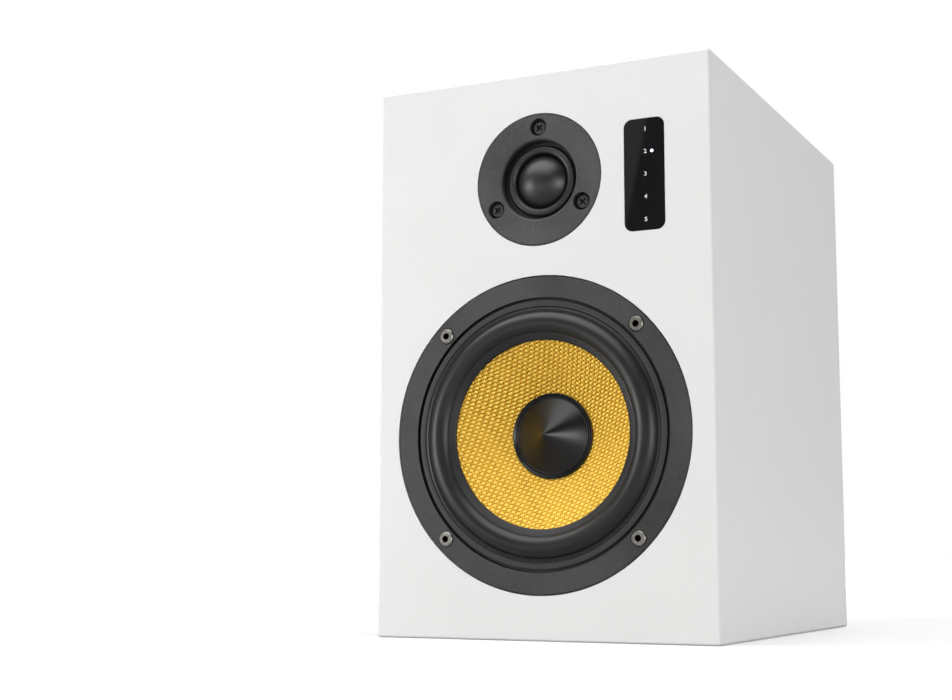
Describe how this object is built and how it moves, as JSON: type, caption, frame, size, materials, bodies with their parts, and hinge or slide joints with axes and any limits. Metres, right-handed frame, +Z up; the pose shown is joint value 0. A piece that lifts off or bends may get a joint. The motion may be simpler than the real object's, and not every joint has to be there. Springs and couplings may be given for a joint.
{
  "type": "bookshelf speaker",
  "caption": "White two-way powered bookshelf speaker: box cabinet with a woven-cone woofer, a dome tweeter, a black input window and a rear amplifier plate.",
  "frame": {"origin": "middle of the bottom face that the cabinet stands on", "axes": "+Z up, -Y towards the listener through the front baffle, +X to the right seen from the front"},
  "size_m": [0.172, 0.2558, 0.27],
  "materials": {
    "white_lacquer": "satin white lacquer on fibreboard",
    "basket_grey": "fine-textured dark grey coating",
    "trim_black": "satin black",
    "surround_rubber": "satin black rubber",
    "cone_weave": "yellow woven fibre, resin coated",
    "cap_black": "satin black",
    "coil_copper": "enamelled copper",
    "spider_cloth": "resin-stiffened cloth",
    "motor_steel": "zinc-plated steel",
    "magnet": "bare ferrite or sintered magnet",
    "bright_screws": "nickel-plated steel",
    "tinsel": "tinsel braid",
    "faceplate_grey": "fine-grained dark grey",
    "dome_black": "coated black silk",
    "black_screws": "black oxide",
    "foam": "closed-cell foam",
    "tags": "brass tags on laminate strips",
    "window_gloss": "gloss black acrylic",
    "guide_black": "matt black",
    "board_green": "green laminate",
    "port_black": "fine-grained black",
    "plate_black": "black powder coat",
    "posts": "turned brass",
    "components": "dark sleeves and windings",
    "encoder_metal": "plated steel",
    "knob_black": "satin black",
    "aux_white": "white plastic",
    "aux_red": "red plastic",
    "nickel": "bright nickel",
    "socket_black": "black plastic",
    "lever_red": "red plastic",
    "lever_black": "black plastic",
    "wire_cover": "soft wire covering",
    "wadding": "white polyester wadding"
  },
  "bodies": {
    "cabinet": {"front_baffle": "white_lacquer", "left_panel": "white_lacquer", "right_panel": "white_lacquer", "top_panel": "white_lacquer", "bottom_panel": "white_lacquer", "rear_panel": "white_lacquer", "woofer_basket": "basket_grey", "woofer_trim_ring": "trim_black", "woofer_surround": "surround_rubber", "woofer_spider": "spider_cloth", "woofer_top_plate": "motor_steel", "woofer_yoke": "motor_steel", "tweeter_pole_disc": "motor_steel", "tweeter_yoke": "motor_steel", "woofer_magnet": "magnet", "tweeter_magnet": "magnet", "woofer_screws": "bright_screws", "woofer_tinsel_leads": "tinsel", "tweeter_faceplate": "faceplate_grey", "tweeter_surround": "dome_black", "tweeter_screws": "black_screws", "panel_screws": "black_screws", "driver_gaskets": "foam", "driver_terminals": "tags", "display_window": "window_gloss", "indicator_light_guides": "guide_black", "display_board": "board_green", "input_board": "board_green", "amp_board": "board_green", "crossover_board": "board_green", "port_tube": "port_black", "amp_panel": "plate_black", "board_spacers": "posts", "power_supply_parts": "components", "crossover_parts": "components", "volume_encoder": "encoder_metal", "aux_socket_white": "aux_white", "aux_socket_red": "aux_red", "socket_shells": "nickel", "mains_pins": "nickel", "socket_tongues": "socket_black", "optical_socket": "socket_black", "clip_terminal": "socket_black", "power_switch": "socket_black", "mains_inlet": "socket_black", "driver_wires": "wire_cover", "display_cable": "wire_cover", "side_wadding": "wadding"},
    "woofer_moving": {"woofer_cone": "cone_weave", "woofer_dust_cap": "cap_black", "woofer_voice_coil": "coil_copper"},
    "tweeter_moving": {"tweeter_dome": "dome_black", "tweeter_voice_coil": "coil_copper"},
    "volume_button": {"volume_plunger": "encoder_metal"},
    "volume_dial": {"volume_shaft": "encoder_metal", "volume_knob": "knob_black"},
    "rocker": {"power_rocker": "lever_black"},
    "shutter": {"optical_shutter": "socket_black"},
    "red_lever": {"clip_lever_red": "lever_red"},
    "black_lever": {"clip_lever_black": "lever_black"}
  },
  "joints": [
    {"name": "woofer_travel", "type": "slide", "parent": "cabinet", "child": "woofer_moving", "axis": [0, -1, 0], "range_m": [-0.004, 0.004], "stiffness_N_per_m": 1200, "deforming": ["woofer_surround", "woofer_spider", "woofer_tinsel_leads"]},
    {"name": "tweeter_travel", "type": "slide", "parent": "cabinet", "child": "tweeter_moving", "axis": [0, -1, 0], "range_m": [-0.0004, 0.0004], "stiffness_N_per_m": 600, "deforming": ["tweeter_surround"]},
    {"name": "volume_push", "type": "slide", "parent": "cabinet", "child": "volume_button", "axis": [0, -1, 0], "range_m": [0, 0.0005], "stiffness_N_per_m": 3000, "springref_m": -0.0003},
    {"name": "volume_turn", "type": "hinge", "parent": "volume_button", "child": "volume_dial", "pos_m": [0.028, 0.118, 0.14], "axis": [0, 1, 0], "continuous": true},
    {"name": "power_tip", "type": "hinge", "parent": "cabinet", "child": "rocker", "pos_m": [-0.024, 0.117, 0.076], "axis": [1, 0, 0], "range_deg": [0, 16]},
    {"name": "shutter_swing", "type": "hinge", "parent": "cabinet", "child": "shutter", "pos_m": [-0.008, 0.1178, 0.1114], "axis": [-1, 0, 0], "range_deg": [0, 80], "stiffness_Nm_per_rad": 0.0005, "springref_deg": -17.19},
    {"name": "red_lever_press", "type": "hinge", "parent": "cabinet", "child": "red_lever", "pos_m": [0.0325, 0.12, 0.061], "axis": [1, 0, 0], "range_deg": [0, 30], "stiffness_Nm_per_rad": 0.05, "springref_deg": -11.46},
    {"name": "black_lever_press", "type": "hinge", "parent": "cabinet", "child": "black_lever", "pos_m": [0.0155, 0.12, 0.061], "axis": [1, 0, 0], "range_deg": [0, 30], "stiffness_Nm_per_rad": 0.05, "springref_deg": -11.46}
  ]
}
